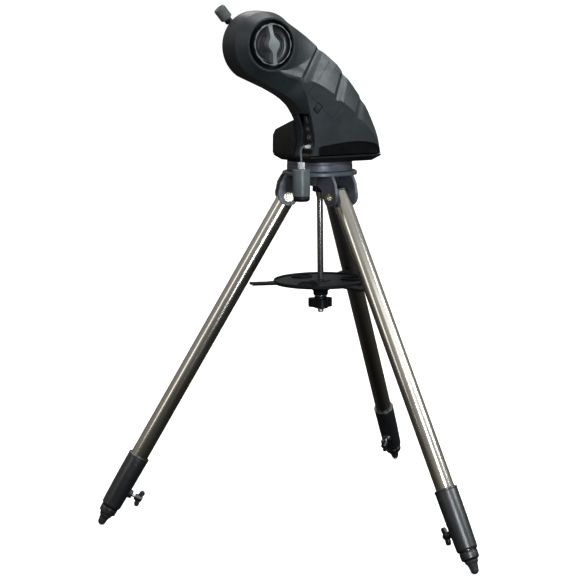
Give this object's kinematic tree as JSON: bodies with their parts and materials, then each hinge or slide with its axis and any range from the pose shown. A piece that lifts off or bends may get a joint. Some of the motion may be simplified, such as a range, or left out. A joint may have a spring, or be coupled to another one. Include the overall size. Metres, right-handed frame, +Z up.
{
  "type": "computerised telescope mount on a tripod",
  "caption": "Single-arm motorised telescope mount with a dovetail saddle, on a folding steel tripod with an eyepiece tray.",
  "frame": {"origin": "on the ground, under the centre of the object's box", "axes": "+Z up along the azimuth axis; the front leg points along -Y; the arm's outer side faces about -Y"},
  "size_m": [0.7094, 0.6192, 0.9193],
  "materials": {
    "charcoal_plastic": "satin moulded, faintly green",
    "black_plastic": "satin moulded",
    "black_casting": "powder coated, semi-gloss",
    "polished_steel": "polished",
    "zinc_steel": "zinc plated",
    "brass": "machined",
    "black_rubber": "matte",
    "clear_plastic": "clear moulded",
    "grey_cord": "satin sleeve",
    "circuit_green": "lacquered"
  },
  "bodies": {
    "tripod": {"tripod_head": "black_casting", "front_hinge_bolt": "zinc_steel", "right_hinge_bolt": "zinc_steel", "left_hinge_bolt": "zinc_steel", "azimuth_turntable": "black_casting", "azimuth_worm_wheel": "brass"},
    "mount_bolt": {"centre_rod": "polished_steel", "rod_hand_nut": "black_plastic"},
    "front_leg": {"front_leg_tube": "polished_steel", "front_leg_top_plug": "black_plastic", "front_leg_collar": "black_plastic"},
    "front_extension": {"front_inner_tube": "polished_steel", "front_end_cap": "black_plastic", "front_rubber_foot": "black_rubber"},
    "front_lock": {"front_wing_screw": "black_plastic"},
    "right_leg": {"right_leg_tube": "polished_steel", "right_leg_top_plug": "black_plastic", "right_leg_collar": "black_plastic"},
    "right_extension": {"right_inner_tube": "polished_steel", "right_end_cap": "black_plastic", "right_rubber_foot": "black_rubber"},
    "right_lock": {"right_wing_screw": "black_plastic"},
    "left_leg": {"left_leg_tube": "polished_steel", "left_leg_top_plug": "black_plastic", "left_leg_collar": "black_plastic"},
    "left_extension": {"left_inner_tube": "polished_steel", "left_end_cap": "black_plastic", "left_rubber_foot": "black_rubber"},
    "left_lock": {"left_wing_screw": "black_plastic"},
    "tray": {"accessory_tray": "black_plastic", "tray_washer": "zinc_steel"},
    "tray_nut": {"tray_knob": "black_plastic"},
    "mount": {"base_floor": "black_plastic", "base_housing": "black_plastic", "arm_outer_shell": "charcoal_plastic", "arm_inner_shell": "charcoal_plastic", "battery_holder": "black_plastic", "port_panel": "black_plastic", "remote_jack": "black_plastic", "power_jack": "black_plastic", "hand_control_socket": "black_plastic", "circuit_board": "circuit_green", "azimuth_motor": "zinc_steel", "altitude_motor": "zinc_steel", "altitude_bearing": "brass", "adapter_cord": "grey_cord", "control_plug": "clear_plastic", "adapter_plug": "clear_plastic", "adapter_body": "charcoal_plastic", "adapter_cap": "black_plastic"},
    "azimuth_worm": {"azimuth_worm": "zinc_steel"},
    "altitude": {"altitude_shaft": "polished_steel", "altitude_worm_wheel": "brass", "saddle_plate": "black_casting"},
    "altitude_worm": {"altitude_worm": "zinc_steel"},
    "clutch": {"clutch_knob": "black_plastic"},
    "jaw": {"saddle_jaw": "black_casting"},
    "clamp_screw": {"saddle_screw": "black_plastic"},
    "door": {"battery_door": "charcoal_plastic"},
    "switch": {"power_switch": "black_plastic"}
  },
  "joints": [
    {"name": "front_leg_fold", "type": "hinge", "parent": "tripod", "child": "front_leg", "pos_m": [0, 0.041, 0.5875], "axis": [1, 0, 0], "range_deg": [0, 30.62]},
    {"name": "right_leg_fold", "type": "hinge", "parent": "tripod", "child": "right_leg", "pos_m": [0.05023, 0.128, 0.5875], "axis": [-0.5, 0.866, 0], "range_deg": [0, 30.62]},
    {"name": "left_leg_fold", "type": "hinge", "parent": "tripod", "child": "left_leg", "pos_m": [-0.05023, 0.128, 0.5875], "axis": [-0.5, -0.866, 0], "range_deg": [0, 30.62]},
    {"name": "tray_drop", "type": "slide", "parent": "tripod", "child": "tray", "axis": [0, 0, -1], "range_m": [0, 1.101]},
    {"name": "tray_knob_turn", "type": "hinge", "parent": "tray", "child": "tray_nut", "pos_m": [0, 0.099, 0.394], "axis": [0, 0, -1], "range_deg": [0, 1080]},
    {"name": "mount_bolt_turn", "type": "hinge", "parent": "tripod", "child": "mount_bolt", "pos_m": [0, 0.099, 0.6], "axis": [0, 0, -1], "range_deg": [0, 1440]},
    {"name": "front_leg_extend", "type": "slide", "parent": "front_leg", "child": "front_extension", "axis": [0, -0.5093, -0.8606], "range_m": [0, 0.4]},
    {"name": "front_lock_turn", "type": "hinge", "parent": "front_leg", "child": "front_lock", "pos_m": [0, -0.26802, 0.0654], "axis": [0, 0.8606, -0.5093], "range_deg": [0, 540]},
    {"name": "right_leg_extend", "type": "slide", "parent": "right_leg", "child": "right_extension", "axis": [0.4411, 0.2547, -0.8606], "range_m": [0, 0.4]},
    {"name": "right_lock_turn", "type": "hinge", "parent": "right_leg", "child": "right_lock", "pos_m": [0.31785, 0.28251, 0.0654], "axis": [-0.7453, -0.4303, -0.5093], "range_deg": [0, 540]},
    {"name": "left_leg_extend", "type": "slide", "parent": "left_leg", "child": "left_extension", "axis": [-0.4411, 0.2547, -0.8606], "range_m": [0, 0.4]},
    {"name": "left_lock_turn", "type": "hinge", "parent": "left_leg", "child": "left_lock", "pos_m": [-0.31785, 0.28251, 0.0654], "axis": [0.7453, -0.4303, -0.5093], "range_deg": [0, 540]},
    {"name": "azimuth", "type": "hinge", "parent": "tripod", "child": "mount", "pos_m": [0, 0.099, 0.64], "axis": [0, 0, 1], "continuous": true},
    {"name": "azimuth_worm_spin", "type": "hinge", "parent": "mount", "child": "azimuth_worm", "pos_m": [0.00682, 0.1454, 0.6665], "axis": [0.9894, -0.1453, 0], "continuous": true},
    {"name": "altitude", "type": "hinge", "parent": "mount", "child": "altitude", "pos_m": [-0.1303, 0.11814, 0.8511], "axis": [-0.1453, -0.9894, 0], "continuous": true},
    {"name": "altitude_worm_spin", "type": "hinge", "parent": "mount", "child": "altitude_worm", "pos_m": [-0.10984, 0.06814, 0.87861], "axis": [0.6996, -0.1028, -0.7071], "continuous": true},
    {"name": "clutch_turn", "type": "hinge", "parent": "altitude", "child": "clutch", "pos_m": [-0.14047, 0.04888, 0.8511], "axis": [-0.1453, -0.9894, 0], "range_deg": [0, 180]},
    {"name": "jaw_slide", "type": "slide", "parent": "altitude", "child": "jaw", "axis": [-0.636, 0.0934, 0.766], "range_m": [-0.003, 0.0045]},
    {"name": "clamp_screw_turn", "type": "hinge", "parent": "jaw", "child": "clamp_screw", "pos_m": [-0.12798, 0.13397, 0.8511], "axis": [-0.636, 0.0934, 0.766], "range_deg": [-882, 1312]},
    {"name": "battery_door", "type": "hinge", "parent": "mount", "child": "door", "pos_m": [-0.00035, 0.03639, 0.79755], "axis": [-0.6996, 0.1028, 0.7071], "range_deg": [0, 80]},
    {"name": "power_rocker", "type": "hinge", "parent": "mount", "child": "switch", "pos_m": [-0.05901, 0.05511, 0.724], "axis": [0.1453, 0.9894, 0], "range_deg": [0, 14]}
  ],
  "couplings": [
    {"joint": "right_leg_fold", "follows": "front_leg_fold", "ratio": 1},
    {"joint": "left_leg_fold", "follows": "front_leg_fold", "ratio": 1},
    {"joint": "tray_drop", "follows": "front_leg_fold", "m_per_rad": 2.0583},
    {"joint": "azimuth_worm_spin", "follows": "azimuth", "ratio": 48},
    {"joint": "altitude_worm_spin", "follows": "altitude", "ratio": 48},
    {"joint": "clamp_screw_turn", "follows": "jaw_slide", "rad_per_m": 5026.5}
  ]
}
